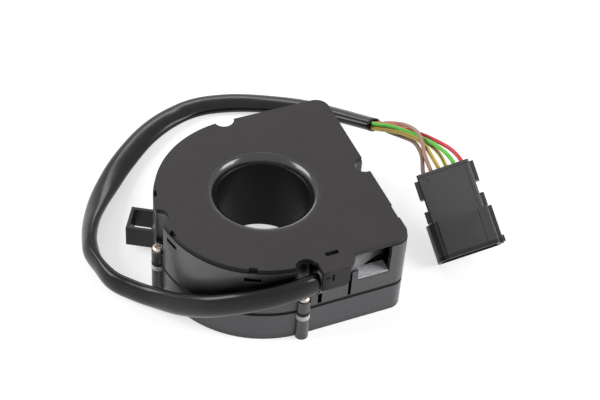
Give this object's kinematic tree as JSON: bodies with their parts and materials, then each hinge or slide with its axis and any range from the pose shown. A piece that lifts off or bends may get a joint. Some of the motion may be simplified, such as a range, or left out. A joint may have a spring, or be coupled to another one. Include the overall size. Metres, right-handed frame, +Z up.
{
  "type": "steering angle sensor",
  "caption": "D shaped sensor box round the steering shaft, with a turning rotor sleeve, screw columns, a locating loop and a flat flying lead that ends in a wire connector.",
  "frame": {"origin": "on the shaft axis, at the lower rim of the rotor, half a millimetre over the base", "axes": "+Z up along the shaft, +X to the flat end of the box, the lead leaves the front on -Y"},
  "size_m": [0.1481, 0.1351, 0.036],
  "materials": {
    "housing": "satin moulded with a fine grain",
    "cover": "matte moulded",
    "rotor": "satin moulded",
    "pale_plastic": "satin moulded",
    "screws": "zinc plated",
    "spring_brass": "rolled",
    "board": "solder mask over glass fibre",
    "ceramic": "fired ceramic",
    "carbon": "printed carbon film",
    "gold": "gold plated film",
    "package": "moulded epoxy",
    "crystal_can": "drawn can",
    "capacitor_can": "printed sleeve",
    "chip_ceramic": "fired ceramic",
    "seal": "matte with fine streaks",
    "sleeve": "semi gloss",
    "connector": "satin moulded",
    "contacts": "tin plated",
    "wire_brown": "extruded insulation",
    "wire_violet_brown": "extruded insulation",
    "wire_yellow": "extruded insulation with a stripe",
    "wire_green": "extruded insulation",
    "wire_red": "extruded insulation"
  },
  "bodies": {
    "housing": {"lower_housing": "housing", "loop_frame": "housing", "upper_housing": "housing", "top_cover": "cover", "spacer_rings": "pale_plastic", "housing_screws": "screws", "thrust_washer": "spring_brass", "circuit_board": "board", "track_disc": "ceramic", "resistive_tracks": "carbon", "collector_ring": "gold", "microcontroller": "package", "memory_chip": "package", "bus_transceiver": "package", "voltage_regulator": "package", "clock_crystal": "crystal_can", "filter_capacitors": "capacitor_can", "chip_capacitors": "chip_ceramic", "chip_resistors": "package", "surge_diode": "package", "cable_seal": "seal", "inner_cable": "sleeve", "wire_tails": "contacts", "cable_sleeve": "sleeve", "wire_brown": "wire_brown", "wire_violet_brown": "wire_violet_brown", "wire_yellow_brown": "wire_yellow", "wire_yellow_black": "wire_yellow", "wire_green": "wire_green", "wire_red": "wire_red", "connector_housing": "connector", "contact_carrier": "connector", "secondary_lock": "connector", "connector_contacts": "contacts"},
    "rotor": {"rotor": "rotor", "wiper_carrier": "pale_plastic", "wiper_brush_a": "spring_brass", "wiper_brush_b": "spring_brass"}
  },
  "joints": [
    {"name": "rotor_turn", "type": "hinge", "parent": "housing", "child": "rotor", "pos_m": [0, 0, 0], "axis": [0, 0, 1], "continuous": true}
  ]
}
